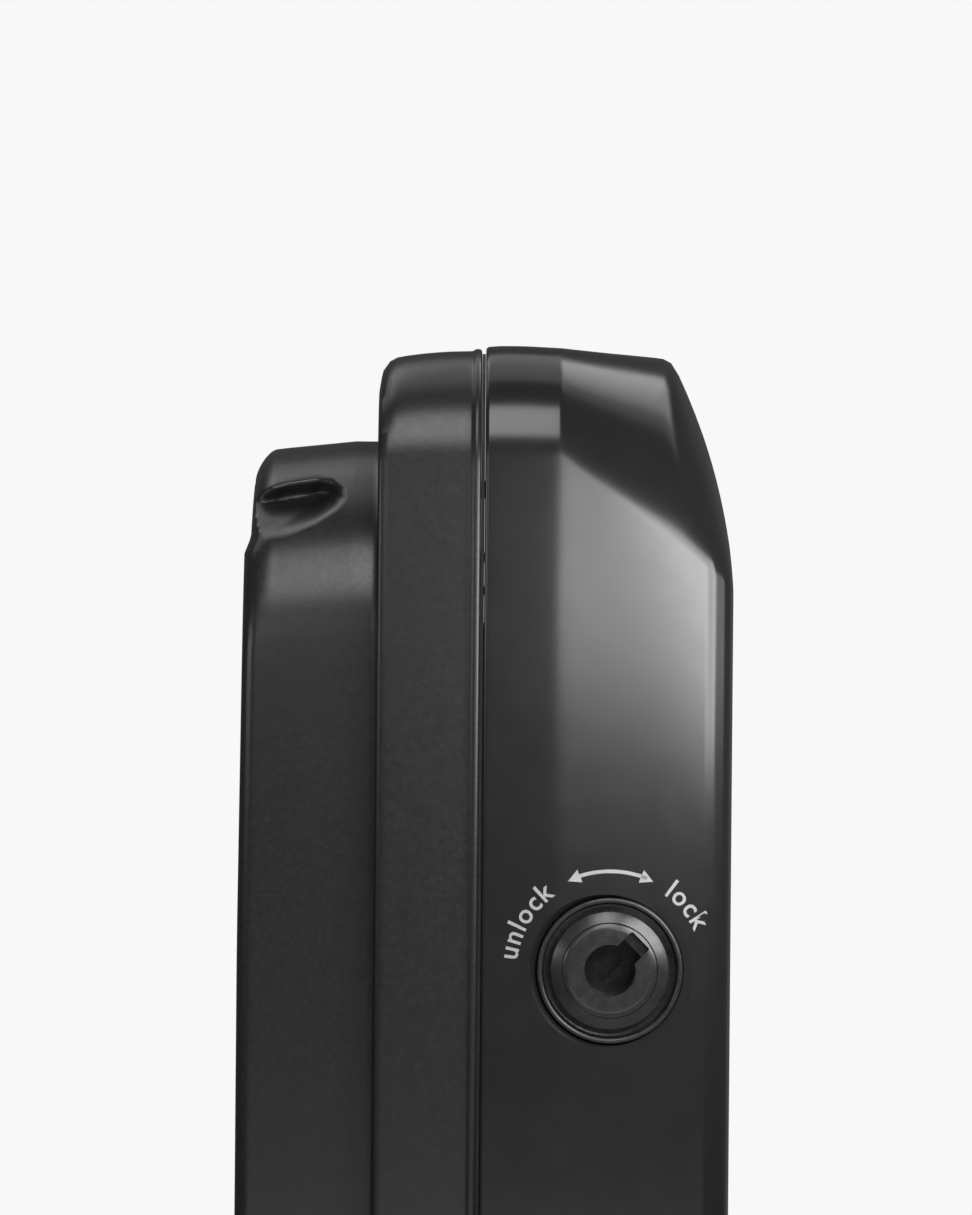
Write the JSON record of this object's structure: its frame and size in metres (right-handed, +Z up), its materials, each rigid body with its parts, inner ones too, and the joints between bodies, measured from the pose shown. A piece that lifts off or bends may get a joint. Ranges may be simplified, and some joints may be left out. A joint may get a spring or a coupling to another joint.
{
  "type": "key-locked frame battery pack",
  "caption": "Long slim battery pack for a bicycle down tube: stepped two-part casing, key lock with latch bolt, finger grips, charge and discharge sockets.",
  "frame": {"origin": "middle of the lower end, which the pack stands on", "axes": "+Z up along the pack, +X to the curved outer face, -X to the side that drops into the frame, the key lock on the -Y side"},
  "size_m": [0.088, 0.0848, 0.392],
  "materials": {
    "outer_casing": "satin",
    "inner_casing": "satin, fine speckle",
    "black_plastic": "matte",
    "lock_face": "satin",
    "steel": "brushed",
    "brass": "satin",
    "cell_can": "shrink sleeve over the can",
    "holder": "moulded",
    "nickel": "rolled",
    "insulator": "pressed paper",
    "rubber": "matte",
    "circuit_board": "solder resist",
    "heat_sink": "satin",
    "red_insulation": "satin",
    "black_insulation": "satin",
    "fuse_body": "gloss",
    "window": "gloss, smoked",
    "lamp": "gloss"
  },
  "bodies": {
    "housing": {"outer_shell": "outer_casing", "inner_shell": "inner_casing", "shell_gasket": "rubber", "shell_screws": "steel", "thread_inserts": "brass", "lower_holder_left": "holder", "lower_holder_right": "holder", "upper_holder_left": "holder", "upper_holder_right": "holder", "nickel_strips_left": "nickel", "nickel_strips_right": "nickel", "insulation_sheets": "insulator", "foam_pads": "rubber", "bms_standoffs": "brass", "bms_board": "circuit_board", "bms_transistors": "black_plastic", "bms_heat_sink": "heat_sink", "bms_connector": "holder", "bms_screws": "steel", "balance_harness": "black_insulation", "pack_wire_positive": "red_insulation", "pack_wire_negative": "black_insulation", "discharge_wires": "red_insulation", "charge_wires": "red_insulation", "fuse_holder": "black_plastic", "fuse": "fuse_body", "discharge_socket": "black_plastic", "discharge_contacts": "brass", "socket_screws": "steel", "charge_port": "black_plastic", "charge_pins": "brass", "charge_nut": "steel", "button_bezel": "lock_face", "indicator_window": "window", "control_board": "circuit_board", "control_lamps": "lamp", "lock_bezel": "lock_face", "lock_body": "lock_face", "lock_nut": "steel", "latch_screws": "steel", "cell_group_01": "cell_can", "cell_group_02": "cell_can", "cell_group_03": "cell_can", "cell_group_04": "cell_can", "cell_group_05": "cell_can", "cell_group_06": "cell_can", "cell_group_07": "cell_can", "cell_group_08": "cell_can", "cell_group_09": "cell_can", "cell_group_10": "cell_can", "cell_group_11": "cell_can", "cell_group_12": "cell_can", "cell_group_13": "cell_can"},
    "key_rotor": {"lock_rotor": "lock_face", "lock_plug": "brass", "lock_cam": "steel"},
    "latch": {"latch_plate": "steel", "latch_bolt": "steel"},
    "charge_cap": {"charge_cap": "rubber"},
    "power_button": {"power_button": "rubber"}
  },
  "joints": [
    {"name": "key_turn", "type": "hinge", "parent": "housing", "child": "key_rotor", "pos_m": [0.022, -0.041, 0.2815], "axis": [0, -1, 0], "range_deg": [0, 90]},
    {"name": "latch_slide", "type": "slide", "parent": "housing", "child": "latch", "axis": [0, 0, 1], "range_m": [0, 0.00848]},
    {"name": "cap_flip", "type": "hinge", "parent": "housing", "child": "charge_cap", "pos_m": [0.011, -0.04045, 0.035], "axis": [-1, 0, 0], "range_deg": [0, 110]},
    {"name": "button_press", "type": "slide", "parent": "housing", "child": "power_button", "axis": [-1, 0, 0], "range_m": [0, 0.0008], "stiffness_N_per_m": 500}
  ],
  "couplings": [
    {"joint": "key_turn", "follows": "latch_slide", "rad_per_m": 185.13}
  ]
}
